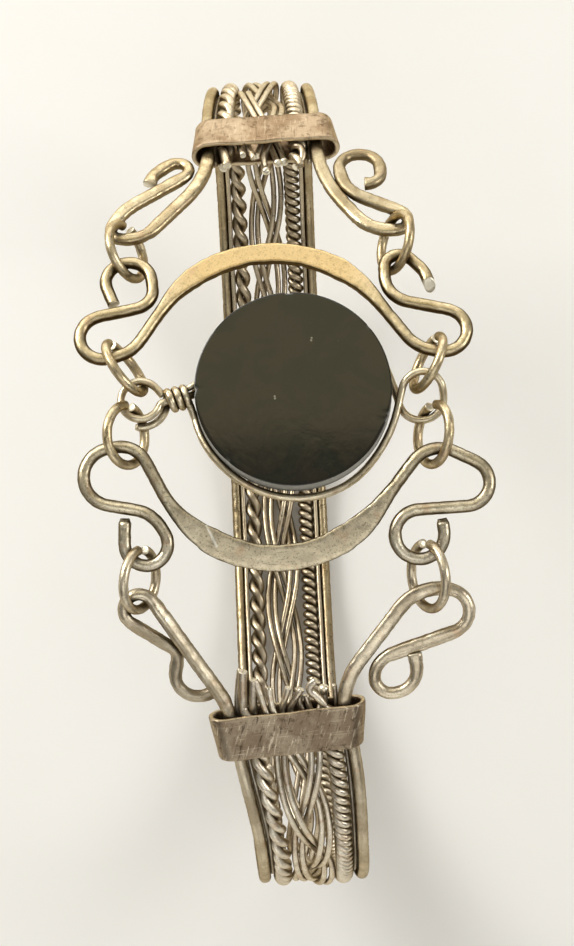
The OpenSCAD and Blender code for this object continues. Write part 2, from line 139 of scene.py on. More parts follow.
# Places on the oval
def oval_angle(s):
    """The normal's angle from +Z at each place along the oval, the same place within half a round of the top,
    and its distance from the top."""
    f = s - 2 * HALF_LEN * np.round(s / (2 * HALF_LEN))
    d = np.abs(f)
    a = np.where(d <= TOP_LEN, d / TOP_R,
                 np.where(d <= TOP_LEN + SIDE_LEN, JOIN + (d - TOP_LEN) / SIDE_R,
                          math.pi - JOIN + (d - TOP_LEN - SIDE_LEN) / TOP_R))
    return np.sign(f) * a, f, d


def on_oval(path):
    """Points of a path that is laid on the oval. The path holds across, along and height."""
    p = np.asarray(path, float)
    a, f, d = oval_angle(p[:, 1])
    side = (d > TOP_LEN) & (d <= TOP_LEN + SIDE_LEN)
    r = np.where(side, SIDE_R, TOP_R) + p[:, 2]
    y0 = np.where(side, np.sign(f) * SIDE_C, 0)
    z0 = np.where(side, 0, np.where(d <= TOP_LEN, -TOP_DROP, TOP_DROP))
    return np.column_stack([p[:, 0], y0 + r * np.sin(a), z0 + r * np.cos(a)])


def oval_normal(s):
    a = oval_angle(np.asarray(s, float))[0]
    return np.column_stack([0 * a, np.sin(a), np.cos(a)])


# Wires bent round pegs
def rad(a):
    return a * math.pi / 180


def left_of(a):
    return np.array([-math.sin(rad(a)), math.cos(rad(a))])


def heading(p, q):
    """The direction of the straight wire from one peg to the next."""
    dx, dy = q[0] - p[0], q[1] - p[1]
    return math.degrees(math.atan2(dy, dx) - math.asin((q[3] * q[2] - p[3] * p[2]) / math.hypot(dx, dy)))


def peg_point(peg, h):
    n = -peg[3] * peg[2] * left_of(h)
    return [peg[0] + n[0], peg[1] + n[1], peg[4]]


def round_pegs(pegs, start, end, sag=SOURCE_SAG):
    """A wire round its pegs. start and end are its directions before the first peg and after the last."""
    last = len(pegs) - 1
    h = [start] + [heading(pegs[i], pegs[i + 1]) for i in range(last)] + [end]
    out = []
    for i, peg in enumerate(pegs):
        a = (peg[3] * (h[i + 1] - h[i])) % 360
        a = 0 if a > 350 else a
        n = max(1, math.ceil(a / math.degrees(math.sqrt(8 * sag / peg[2]))))
        out += [peg_point(peg, h[i] + peg[3] * a * k / n) for k in range(n + 1)]
    return np.array(out)


def unit(v):
    return v / np.linalg.norm(v, axis=-1, keepdims=True)


def smooth(t):
    t = np.clip(t, 0, 1)
    return t * t * (3 - 2 * t)


def lead(path, before=0.0, after=0.0):
    """The path with its ends made longer."""
    if before:
        path = np.vstack([path[0] - before * unit(path[1] - path[0]), path])
    if after:
        path = np.vstack([path, path[-1] + after * unit(path[-1] - path[-2])])
    return path


def coarse(path, shortest=0.25, longest=3.5):
    """The source's own steps: thinned, split and with its heights eased."""
    kept = [path[0]]
    for p in path[1:]:
        if np.linalg.norm(p - kept[-1]) > shortest:
            kept.append(p)
    out = [kept[0]]
    for p in kept[1:]:
        a = out[-1]
        n = max(1, math.ceil(np.linalg.norm(p - a) / longest))
        out += [a + (p - a) * k / n for k in range(1, n + 1)]
    out = np.array(out)
    for _ in range(4):
        z = out[:, 2].copy()
        out[1:-1, 2] = (z[:-2] + 2 * z[1:-1] + z[2:]) / 4
    return out


def lengths(p):
    """The distance along the path to each of its points."""
    return np.concatenate([[0], np.cumsum(np.linalg.norm(np.diff(p, axis=0), axis=1))])


def resample(p, step):
    p = p[np.concatenate([[True], np.linalg.norm(np.diff(p, axis=0), axis=1) > 1e-6])]
    l = lengths(p)
    t = np.linspace(0, l[-1], max(2, int(round(l[-1] / step)) + 1))
    return np.column_stack([np.interp(t, l, p[:, i]) for i in range(p.shape[1])])


def blurred(v, sigma):
    """v smoothed along its rows, sigma in rows, with its two ends kept."""
    n = int(math.ceil(3 * sigma))
    if n < 1:
        return v
    k = np.exp(-0.5 * (np.arange(-n, n + 1) / sigma) ** 2)
    k /= k.sum()
    v = np.asarray(v, float)
    flat = v.ndim == 1
    w = v[:, None] if flat else v
    head = 2 * w[0] - w[n:0:-1]
    tail = 2 * w[-1] - w[-2:-n - 2:-1]
    full = np.vstack([head, w, tail])
    out = np.column_stack([np.convolve(full[:, i], k, "valid") for i in range(w.shape[1])])
    return out[:, 0] if flat else out


def fine_path(rough, fine, step=0.16, soft=0.28):
    """The fine plan with the rough path's heights, evenly stepped and with its bends softened."""
    c = coarse(rough)
    lc, lf = lengths(c[:, :2]), lengths(fine[:, :2])
    fine = np.column_stack([fine[:, :2], np.interp(lf * lc[-1] / lf[-1], lc, c[:, 2])])
    return blurred(resample(fine, step), soft / step)


def tangents(p):
    return unit(np.gradient(p, axis=0))


def straightness(p, near=0.22, far=0.42):
    """1 where the path runs nearly straight, and 0 in its tight bends."""
    t = tangents(p)
    bend = np.linalg.norm(np.gradient(t, axis=0), axis=1) / np.linalg.norm(np.gradient(p, axis=0), axis=1)
    return blurred(1 - smooth((bend - near) / (far - near)), 3)


def bent(pegs, start, end, before=0.0, after=0.0, **kw):
    return fine_path(lead(round_pegs(pegs, start, end), before, after),
                     lead(round_pegs(pegs, start, end, FINE_SAG), before, after), **kw)


# The band's wires
def band_mid(s):
    """The band's middle, which bows sideways by SWAY below the lower ferrule: 6.75 makes the bow's top 1."""
    t = np.clip((s - UPPER_MOUTH) / BAND_LEN, 0, 1)
    u = np.minimum(1, (1 - t) * BAND_LEN / BOW_LEN)
    return BAND_SHIFT + 6.75 * SWAY * u * (1 - u) ** 2


def band_pinch(s):
    """How much nearer to the middle each side of the band comes between the ferrules."""
    t = np.clip((s - UPPER_MOUTH) / BAND_LEN, 0, 1)
    return PINCH * smooth((np.minimum(t, 1 - t) * BAND_LEN - 3) / 13)


def band_path(off, out, h, step):
    """A straight wire of the band: how far beside the middle, how far past both mouths, and how high."""
    n = int((BAND_LEN + out[0] + out[1]) / step)
    s = np.linspace(UPPER_MOUTH - out[0], UPPER_MOUTH + BAND_LEN + out[1], n)
    return np.column_stack([band_mid(s) + off - np.sign(off) * band_pinch(s), s, 0 * s + h])


# Sweeps
def carried(t, first):
    """A normal at each point that doesn't twist along the path."""
    n = first - first.dot(t[0]) * t[0]
    out = [n / np.linalg.norm(n)]
    for v in t[1:]:
        n = out[-1] - out[-1].dot(v) * v
        out.append(n / np.linalg.norm(n))
    return np.array(out)


def waves(along, around, seed, spans):
    """A smooth seeded relief of about -1 to 1 on a wire: along in mm, around in radians."""
    g = np.random.default_rng(seed)
    z = 0 * along + 0 * around
    total = 0
    for span in spans:
        for m in range(4):
            a = g.uniform(0.5, 1) / (1 + 0.3 * m)
            length = span * g.uniform(0.8, 1.25)
            z = z + a * np.sin(2 * np.pi * along / length + m * around + g.uniform(0, 6.283))
            total += a * a
    return z / math.sqrt(total)


class Parts:
    """Meshes that are gathered into one piece, with the maps that the materials read."""

    def __init__(self):
        self.v, self.f, self.uv, self.deep, self.work, self.cut, self.count = [], [], [], [], [], [], 0

    def add(self, verts, faces, uvs, deep, work, cut=None):
        base = self.count
        self.v.append(verts)
        self.f += [[base + i for i in f] for f in faces]
        self.uv += uvs
        self.deep.append(deep)
        self.work.append(work)
        self.cut.append(np.zeros(len(verts)) if cut is None else cut)
        self.count += len(verts)

    def sweep(self, p, half_w, half_h=None, normals=None, first=(0, 0, 1), power=2.0, sides=20,
              relief=0.012, seed=1, ends=("flat", "flat"), deep=None, work=0.0, spans=(1.3, 2.7, 6.0)):
        """A wire along p. power is 2 for a round section, and more for a squarer one. deep, a function of the
        wire's points, is how dark they are, and work is how far the wire is hammered."""
        p = np.asarray(p, float)
        n = len(p)
        one = np.ones(n)
        half_w = half_w * one
        half_h = half_w if half_h is None else half_h * one
        power = (power * one)[:, None]
        t = tangents(p)
        nrm = carried(t, np.array(first, float)) if normals is None else \
            unit(normals - np.sum(normals * t, 1)[:, None] * t)
        wid = np.cross(t, nrm)
        along = lengths(p)
        phi = 2 * np.pi * (np.arange(sides) + 0.5) / sides
        c, s = np.cos(phi)[None, :], np.sin(phi)[None, :]
        r = (np.abs(c) ** power + np.abs(s) ** power) ** (-1 / power)
        size = (half_w * half_h) ** 0.5
        dent = relief * waves(along[:, None], phi[None, :], seed, spans)
        r = r * (1 - np.abs(dent) / size[:, None])
        grid = p[:, None, :] + (r * c * half_w[:, None])[..., None] * wid[:, None, :] \
            + (r * s * half_h[:, None])[..., None] * nrm[:, None, :]
        rows, marks = list(grid), list(along)
        for i, kind in ((0, ends[0]), (n - 1, ends[1])):
            mid, rim, r = p[i], grid[i] - p[i], size[i]
            out = t[i] if i else -t[i]
            steps = END_STEPS[kind]
            extra = []
            for k, (scale, reach) in enumerate(steps):
                ring = rim * scale
                if kind == "pinch":
                    ring = ring - np.outer(ring @ nrm[i], nrm[i]) * PINCHED * (k + 1) / len(steps)
                if kind == "slant":
                    ring = ring + np.outer(r - ring @ nrm[i], out)
                extra.append(mid + ring + out * reach * r)
            if i:
                rows += extra
                marks += [marks[-1] + r * reach for scale, reach in steps]
            else:
                rows = extra[::-1] + rows
                marks = [marks[0] - r * reach for scale, reach in steps][::-1] + marks
        verts = np.vstack(rows)
        m = len(rows)
        faces, uvs = [], []
        girth = 2 * np.pi * float(size.mean())
        for a in range(m - 1):
            for k in range(sides):
                b = (k + 1) % sides
                faces.append([a * sides + k, (a + 1) * sides + k, (a + 1) * sides + b, a * sides + b])
                u0, u1 = girth * k / sides, girth * (k + 1) / sides
                uvs += [(u0, marks[a]), (u0, marks[a + 1]), (u1, marks[a + 1]), (u1, marks[a])]
        faces.append(list(range(sides)))
        uvs += [(0.0, marks[0])] * sides
        faces.append([(m - 1) * sides + k for k in range(sides)][::-1])
        uvs += [(0.0, marks[-1])] * sides
        before = len(END_STEPS[ends[0]])
        dark = np.zeros((m, sides))
        if deep is not None:
            body = deep(grid)
            dark[before:before + n] = body
            dark[:before] = body[0]
            dark[before + n:] = body[-1]
        worked = np.zeros((m, sides))
        worked[before:before + n] = (work * one)[:, None]
        cut = np.zeros((m, sides))
        if ends[0] != "pinch":
            cut[:before] = 1
        if ends[1] != "pinch":
            cut[before + n:] = 1
        self.add(verts, faces, uvs, dark.ravel(), worked.ravel(), cut.ravel())

    def make(self, name, material, node):
        """Makes the piece's mesh, which takes the place of the source's node."""
        mesh = bpy.data.meshes.new(name)
        v = np.vstack(self.v) * MM
        mesh.from_pydata(v.tolist(), [], self.f)
        layer = mesh.uv_layers.new(name="wire")
        layer.data.foreach_set("uv", np.asarray(self.uv, np.float32).ravel())
        for label, values in (("deep", self.deep), ("work", self.work), ("cut", self.cut)):
            mesh.attributes.new(label, "FLOAT", "POINT").data.foreach_set(
                "value", np.concatenate(values).astype(np.float32))
        mesh.polygons.foreach_set("use_smooth", [True] * len(mesh.polygons))
        mesh.update()
        mesh.materials.append(material)
        obj = bpy.data.objects.new(name, mesh)
        bpy.context.collection.objects.link(obj)
        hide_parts(node)
        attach(obj, "root")


# Materials
def nodes_of(name):
    """A new material with its nodes and its one shader."""
    m = bpy.data.materials.new(name)
    m.use_nodes = True
    t = m.node_tree
    t.nodes.clear()
    out = t.nodes.new("ShaderNodeOutputMaterial")
    b = t.nodes.new("ShaderNodeBsdfPrincipled")
    t.links.new(b.outputs[0], out.inputs[0])
    return m, t, b


def place(t):
    """Positions on the object in mm."""
    tc = t.nodes.new("ShaderNodeTexCoord")
    mp = t.nodes.new("ShaderNodeMapping")
    mp.inputs["Scale"].default_value = (1000, 1000, 1000)
    t.links.new(tc.outputs["Object"], mp.inputs["Vector"])
    return mp.outputs["Vector"]


def along_wire(t, across, along):
    """Positions on the wire's skin, round it and along it, in mm times the two scales."""
    uv = t.nodes.new("ShaderNodeUVMap")
    uv.uv_map = "wire"
    mp = t.nodes.new("ShaderNodeMapping")
    mp.inputs["Scale"].default_value = (across, along, 1)
    t.links.new(uv.outputs["UV"], mp.inputs["Vector"])
    return mp.outputs["Vector"]


def noise(t, vec, scale, detail=3, rough=0.55, distort=0.0):
    n = t.nodes.new("ShaderNodeTexNoise")
    n.inputs["Scale"].default_value = scale
    n.inputs["Detail"].default_value = detail
    n.inputs["Roughness"].default_value = rough
    n.inputs["Distortion"].default_value = distort
    t.links.new(vec, n.inputs["Vector"])
    return n.outputs["Fac"]


def ranged(t, fac, a, b, lo=0.0, hi=1.0):
    m = t.nodes.new("ShaderNodeMapRange")
    m.interpolation_type = "SMOOTHSTEP"
    for k, v in ((1, a), (2, b), (3, lo), (4, hi)):
        m.inputs[k].default_value = v
    t.links.new(fac, m.inputs[0])
    return m.outputs[0]


def mixed(t, fac, a, b):
    m = t.nodes.new("ShaderNodeMix")
    m.data_type = "RGBA"
    for socket, value in ((m.inputs[6], a), (m.inputs[7], b)):
        if isinstance(value, tuple):
            socket.default_value = (*value, 1)
        else:
            t.links.new(value, socket)
    t.links.new(fac, m.inputs[0])
    return m.outputs[2]


def math_node(t, op, a, b, clamp=False):
    m = t.nodes.new("ShaderNodeMath")
    m.operation = op
    m.use_clamp = clamp
    for socket, value in zip(m.inputs, (a, b)):
        if isinstance(value, (int, float)):
            socket.default_value = value
        else:
            t.links.new(value, socket)
    return m.outputs[0]


def attribute(t, name):
    a = t.nodes.new("ShaderNodeAttribute")
    a.attribute_name = name
    return a.outputs["Fac"]


def bumps(t, bsdf, heights):
    """Chains bumps, each (height, strength, distance in mm)."""
    last = None
    for h, strength, dist in heights:
        b = t.nodes.new("ShaderNodeBump")
        b.inputs["Strength"].default_value = strength
        b.inputs["Distance"].default_value = dist * MM
        t.links.new(h, b.inputs["Height"])
        if last is not None:
            t.links.new(last, b.inputs["Normal"])
        last = b.outputs["Normal"]
    t.links.new(last, bsdf.inputs["Normal"])


def crevices(t):
    """1 in the open, and less where other metal is near."""
    ao = t.nodes.new("ShaderNodeAmbientOcclusion")
    ao.samples = 8
    ao.inputs["Distance"].default_value = 0.9 * MM
    return ao.outputs["AO"]


def outer_side_lit(t, low, high, inner):
    """1 on the side that faces away from the wrist, less on its flanks for painted shade there, and inner on
    the wrist's side."""
    # Painted shade: the further the surface turns from the outer side, the darker it is
    g = t.nodes.new("ShaderNodeNewGeometry")
    grow = t.nodes.new("ShaderNodeVectorMath")
    grow.operation = "MULTIPLY"
    grow.inputs[1].default_value = (0, 1 / HALF_W ** 2, 1 / HALF_H ** 2)
    t.links.new(g.outputs["Position"], grow.inputs[0])
    out = t.nodes.new("ShaderNodeVectorMath")
    out.operation = "NORMALIZE"
    t.links.new(grow.outputs[0], out.inputs[0])
    dot = t.nodes.new("ShaderNodeVectorMath")
    dot.operation = "DOT_PRODUCT"
    t.links.new(out.outputs[0], dot.inputs[0])
    t.links.new(g.outputs["Normal"], dot.inputs[1])
    facing = dot.outputs["Value"]
    wrist_side = ranged(t, facing, -0.4, -0.95, 0, inner)
    return math_node(t, "MAXIMUM", ranged(t, facing, low, high), wrist_side)


def spots(t, p, places, size):
    """1 on small round spots at the given places, in mm."""
    total = None
    for at in places:
        d = t.nodes.new("ShaderNodeVectorMath")
        d.operation = "DISTANCE"
        d.inputs[1].default_value = at
        t.links.new(p, d.inputs[0])
        spot = ranged(t, d.outputs["Value"], size, 0.4 * size)
        total = spot if total is None else math_node(t, "MAXIMUM", total, spot)
    return total


def cool_light_tint(colour):
    """The colour with 30% less of its tint, for the painted cool light on the bracelet's lower half."""
    grey = 0.3 * colour[0] + 0.6 * colour[1] + 0.1 * colour[2]
    return tuple(v + (grey - v) * 0.3 for v in colour)


# The colours that all metals share: copper that shows through, fresh cuts, scratches and glancing light
COPPER, FRESH_CUT = (0.60, 0.40, 0.24), (0.90, 0.83, 0.66)
SCRATCHED, GLANCING = (0.97, 0.92, 0.78), (0.75, 0.66, 0.5, 1)


def metal(name, bright, mid, side, dark, rough, pits=0.45, soiled=0.2, grime=1.0, beaten=None, scratch=None):
    """A wire with wear: bright and mid on its outer side, side on its flanks as painted shade and in its pits,
    and dark in its hollows. beaten is the colour of its hammered faces, and scratch a row of places."""
    m, t, b = nodes_of(name)
    p = place(t)
    xyz = t.nodes.new("ShaderNodeSeparateXYZ")
    t.links.new(p, xyz.inputs[0])
    # Painted light: the metal loses some of its warm tint towards the bracelet's lower half, as under a cool
    # light
    lower = ranged(t, xyz.outputs["Y"], -7, -16)
    bright, mid = mixed(t, lower, bright, cool_light_tint(bright)), mixed(t, lower, mid, cool_light_tint(mid))
    wide = noise(t, p, 0.42, 3, 0.55, 0.3)
    medium = noise(t, p, 1.9, 4, 0.6)
    grain = noise(t, p, 6.5, 4, 0.7)
    drawn = noise(t, along_wire(t, 4.0, 0.22), 1.0, 4, 0.6)
    # Painted shade on the flanks, and on hammered wires on the rounded edges of the flats
    unshaded_side = outer_side_lit(t, 0.55, 0.96, 0.5) if beaten else outer_side_lit(t, 0.05, 0.85, 0.5)
    hollow = math_node(t, "MAXIMUM", ranged(t, crevices(t), 0.9, 0.35), attribute(t, "deep"))
    soot = math_node(t, "MULTIPLY", hollow, grime)
    stain = math_node(t, "MULTIPLY", ranged(t, medium, 0.56, 0.70), soiled)
    soot = math_node(t, "MAXIMUM", soot, stain, True)
    colour = mixed(t, ranged(t, wide, 0.38, 0.62), mid, bright)
    colour = mixed(t, ranged(t, drawn, 0.46, 0.66, 0, 0.6), colour, mid)
    if beaten:
        colour = mixed(t, attribute(t, "work"), colour, beaten)
    colour = mixed(t, ranged(t, grain, 0.52, 0.68, 0, pits), colour, side)
    copper = noise(t, p, 0.75, 3, 0.5, 0.4)
    colour = mixed(t, ranged(t, copper, 0.58, 0.70, 0, 0.45), colour, COPPER)
    # The flanks take the side colour: painted shade
    colour = mixed(t, unshaded_side, side, colour)
    colour = mixed(t, soot, colour, dark)
    colour = mixed(t, attribute(t, "cut"), colour, FRESH_CUT)
    if scratch is not None:
        colour = mixed(t, spots(t, p, scratch, 0.15), colour, SCRATCHED)
    t.links.new(colour, b.inputs["Base Color"])
    b.inputs["Metallic"].default_value = 1.0
    b.inputs["Specular Tint"].default_value = GLANCING
    polish = ranged(t, medium, 0.3, 0.7, rough[0], rough[1])
    dull = math_node(t, "ADD", polish, math_node(t, "MULTIPLY", soot, 0.25), True)
    t.links.new(dull, b.inputs["Roughness"])
    chain = [(drawn, 0.7, 0.035), (medium, 0.5, 0.04), (grain, 0.5, 0.012)]
    if beaten:
        v = t.nodes.new("ShaderNodeTexVoronoi")
        v.feature = "SMOOTH_F1"
        v.inputs["Scale"].default_value = 0.62
        v.inputs["Smoothness"].default_value = 0.35
        t.links.new(p, v.inputs["Vector"])
        flats = math_node(t, "MULTIPLY", v.outputs["Distance"], attribute(t, "work"))
        chain.insert(0, (flats, 0.4, 0.10))
    bumps(t, b, chain)
    return m


# A light scratch across the left of the lower arc's flat
LOWER_SCRATCH = [tuple(q) for q in on_oval(np.column_stack([
    np.linspace(-6.05, -5.3, 14), np.linspace(-10.35, -12.0, 14), np.full(14, 0.3)])).tolist()]

# The third colour of each metal is painted shade on its flanks, and also the colour of its pits
silver = metal("aged silver wire", (0.84, 0.71, 0.46), (0.58, 0.46, 0.27), (0.22, 0.16, 0.08),
               (0.06, 0.04, 0.018), (0.25, 0.42))
# A lighter copy of the silver, with lighter flanks, for the wire round the stone: painted light standing in
# for the highlight along its rim
lit_silver = metal("silver wire painted lit", (0.92, 0.82, 0.60), (0.72, 0.61, 0.41), (0.36, 0.28, 0.16),
                      (0.08, 0.055, 0.03), (0.26, 0.40), pits=0.3, soiled=0.1)
gilt = metal("warm hammered wire", (0.84, 0.70, 0.44), (0.62, 0.50, 0.29), (0.08, 0.05, 0.02),
             (0.07, 0.045, 0.018), (0.28, 0.44), beaten=(0.73, 0.54, 0.265))
grey = metal("grey hammered wire", (0.88, 0.78, 0.56), (0.64, 0.55, 0.37), (0.12, 0.09, 0.05),
             (0.07, 0.048, 0.026), (0.28, 0.46), pits=0.7, beaten=(0.70, 0.61, 0.43), scratch=LOWER_SCRATCH)
band_metal = metal("band wire", (0.95, 0.84, 0.62), (0.72, 0.60, 0.42), (0.34, 0.27, 0.17),
                   (0.06, 0.042, 0.022), (0.26, 0.44), grime=0.48)


def ferrule_metal(name, low, high, mark, dark, scratches):
    """Dull sheet, blotched from low to high, with light and dark scratches and a bright cut edge."""
    m, t, b = nodes_of(name)
    p = place(t)
    wide = noise(t, p, 0.30, 4, 0.6, 0.5)
    medium = noise(t, p, 1.7, 4, 0.65)
    grain = noise(t, p, 10.0, 3, 0.6)
    marks = noise(t, along_wire(t, 3.6, 0.55), 1.0, 5, 0.72, 0.6)
    lines = noise(t, along_wire(t, 0.30, 7.0), 1.0, 4, 0.65, 0.3)
    stain = ranged(t, medium, 0.55, 0.68, 0, 0.55)
    soot = math_node(t, "MAXIMUM", ranged(t, crevices(t), 0.85, 0.3), stain, True)
    colour = mixed(t, ranged(t, wide, 0.42, 0.58), low, high)
    colour = mixed(t, ranged(t, marks, 0.44, 0.34, 0, scratches), colour, dark)
    colour = mixed(t, ranged(t, marks, 0.56, 0.66, 0, scratches), colour, mark)
    colour = mixed(t, ranged(t, lines, 0.58, 0.68, 0, 0.5), colour, mark)
    colour = mixed(t, attribute(t, "work"), colour, (0.90, 0.76, 0.50))
    colour = mixed(t, soot, colour, dark)
    t.links.new(colour, b.inputs["Base Color"])
    b.inputs["Metallic"].default_value = 1.0
    b.inputs["Specular Tint"].default_value = GLANCING
    polish = ranged(t, medium, 0.3, 0.7, 0.34, 0.5)
    dull = math_node(t, "ADD", polish, math_node(t, "MULTIPLY", soot, 0.2), True)
    t.links.new(dull, b.inputs["Roughness"])
    bumps(t, b, [(wide, 0.5, 0.10), (marks, 0.5, 0.03), (lines, 0.4, 0.02), (medium, 0.4, 0.03),
                 (grain, 0.5, 0.012)])
    return m


def stone_material():
    """Polished stone with faint clouds and two small pits, dull on its wall, and lighter on its chips and on
    its unpolished wall, which carries painted light and shade.
    """
    m, t, b = nodes_of("dark stone")
    p = place(t)
    cloud = noise(t, p, 0.22, 4, 0.6, 0.8)
    veil = noise(t, p, 1.6, 5, 0.7)
    fleck = noise(t, p, 6.0, 2, 0.5)
    top = STONE_Z + STONE_T / 2
    pits = [(3.1, 4.42, top), (3.06, 4.22, top), (-0.1, -0.38, top), (-0.08, -0.56, top)]
    specks = spots(t, p, pits, 0.12)
    colour = mixed(t, ranged(t, cloud, 0.38, 0.62), (0.007, 0.009, 0.004), (0.0165, 0.0125, 0.006))
    colour = mixed(t, ranged(t, veil, 0.55, 0.8, 0, 0.5), colour, (0.024, 0.020, 0.011))
    colour = mixed(t, ranged(t, fleck, 0.72, 0.78, 0, 0.4), colour, (0.09, 0.08, 0.055))
    colour = mixed(t, specks, colour, (0.22, 0.21, 0.16))
    # The pale colour of the unpolished wall and of the chips; on the wall it carries painted light and shade
    colour = mixed(t, attribute(t, "work"), colour, (0.36, 0.35, 0.31))
    t.links.new(colour, b.inputs["Base Color"])
    unpolished = math_node(t, "MAXIMUM", attribute(t, "work"), attribute(t, "deep"))
    gloss = ranged(t, veil, 0.3, 0.8, 0.06, 0.11)
    dull = math_node(t, "ADD", gloss, math_node(t, "MULTIPLY", unpolished, 0.5))
    t.links.new(dull, b.inputs["Roughness"])
    b.inputs["IOR"].default_value = 1.54
    bumps(t, b, [(cloud, 0.12, 0.05), (veil, 0.10, 0.006)])
    return m


stone_gloss = stone_material()


# The camera stands where the photograph was taken from: its place in mm, its tilt and roll in degrees, and its
# focal length in pixels of a picture 574 wide
CAMERA_AT, TILT, ROLL = (0.613, -58.096, 217.689), 15, 2.6
FOCAL_PX, PICTURE_W, SENSOR_W = 2480, 574, 36


def aim():
    tilt, roll = rad(TILT), rad(ROLL)
    back = Vector((0, -math.sin(tilt), math.cos(tilt)))
    up0 = Vector((0, math.cos(tilt), math.sin(tilt)))
    x = Vector((1, 0, 0))
    right = x * math.cos(roll) - up0 * math.sin(roll)
    up = x * math.sin(roll) + up0 * math.cos(roll)
    data = bpy.data.cameras.new("camera")
    data.sensor_fit = "HORIZONTAL"
    data.sensor_width = SENSOR_W
    data.lens = FOCAL_PX / PICTURE_W * SENSOR_W
    data.clip_start = 0.005
    data.clip_end = 20
    cam = bpy.data.objects.new("camera", data)
    m = Matrix((right, up, back)).transposed().to_4x4()
    m.translation = Vector(CAMERA_AT) * MM
    cam.matrix_world = m
    bpy.context.collection.objects.link(cam)
    bpy.context.scene.camera = cam


aim()


# Front panel
# Where an arc's hammered middle ends to both sides, and the length over which it goes over into round wire
FLAT_HALF, FLAT_FADE = 9.5, 4
# The waves in its width: how high and how long
UNEVEN = [(0.045, 4.3), (0.035, 2.1), (0.02, 1.2)]


def hammered_arc(node, pegs, start, end, before, after, flat_w, material, seed, ends):
    """A wire hammered flat in its middle. start and end are its directions, and before and after make it
    longer."""
    p = bent(pegs, start, end, before, after)
    flat = smooth((FLAT_HALF - np.abs(p[:, 0])) / FLAT_FADE)
    g = np.random.default_rng(seed)
    uneven = sum(a * np.sin(2 * np.pi * p[:, 0] / w + g.uniform(0, 6.28)) for a, w in UNEVEN)
    wide = FORM_D * 1.05 + (flat_w - 0.06 - FORM_D) * flat + uneven * flat
    thick = FORM_D + (FLAT_T - FORM_D) * flat
    parts = Parts()
    parts.sweep(on_oval(p), wide / 2, thick / 2, oval_normal(p[:, 1]), power=2 + 5.0 * flat, sides=44,
                relief=0.018, seed=seed, ends=ends, work=flat, spans=(1.1, 1.9, 4.5))
    parts.make(node + "_wire", material, node)


hammered_arc("upper_arc", UPPER_ARC, 112, -80, 1.5, 0.1, UPPER_FLAT_W, gilt, 11,
             ("flat", "slant"))
hammered_arc("lower_arc", LOWER_ARC, -95, 100, 1.6, 0.45, LOWER_FLAT_W, grey, 12,
             ("pinch", "pinch"))


def laid(across, along, height, lean):
    """The place on the oval and the turn that lays a piece there, leaning by so many degrees."""
    a = math.degrees(float(oval_angle(np.array([along]))[0][0]))
    at = Vector(on_oval([[across, along, height]])[0])
    return Matrix.Translation(at) @ Matrix.Rotation(rad(-a), 4, "X") @ Matrix.Rotation(rad(lean), 4, "Z")


def jump_ring(node, row, seed):
    """An open ring, not quite round, whose two cut ends miss each other a little."""
    across, along, height, lean, tilt, opening, wider, miss = row
    r = (RING_D + wider - RING_WIRE_D) / 2
    m = laid(across, along, height, lean) @ Matrix.Rotation(rad(90 + tilt), 4, "Y") \
        @ Matrix.Rotation(rad(opening + (360 - RING_TURN) / 2), 4, "Z")
    g = np.random.default_rng(seed)
    angle = np.radians(np.linspace(0, RING_TURN, 150))
    wobble = 0.035 * np.sin(2 * angle + g.uniform(0, 6.28)) + 0.02 * np.sin(3 * angle + g.uniform(0, 6.28))
    aside = miss * (angle / math.radians(RING_TURN) - 0.5)
    pts = [m @ Vector(((r + w) * math.cos(a), (r + w) * math.sin(a), z))
           for a, w, z in zip(angle, wobble, aside)]
    parts = Parts()
    parts.sweep(pts, RING_WIRE_D / 2, first=m.to_3x3() @ Vector((0, 0, 1)), sides=24, relief=0.01, seed=seed)
    parts.make(node + "_wire", silver, node)


for number, (name, row) in enumerate(RINGS.items()):
    jump_ring("ring_" + name, row, 20 + number)


def hump(at, middle, width):
    """1 at the middle, and less to both sides."""
    return np.exp(-((at - middle) / width) ** 2)


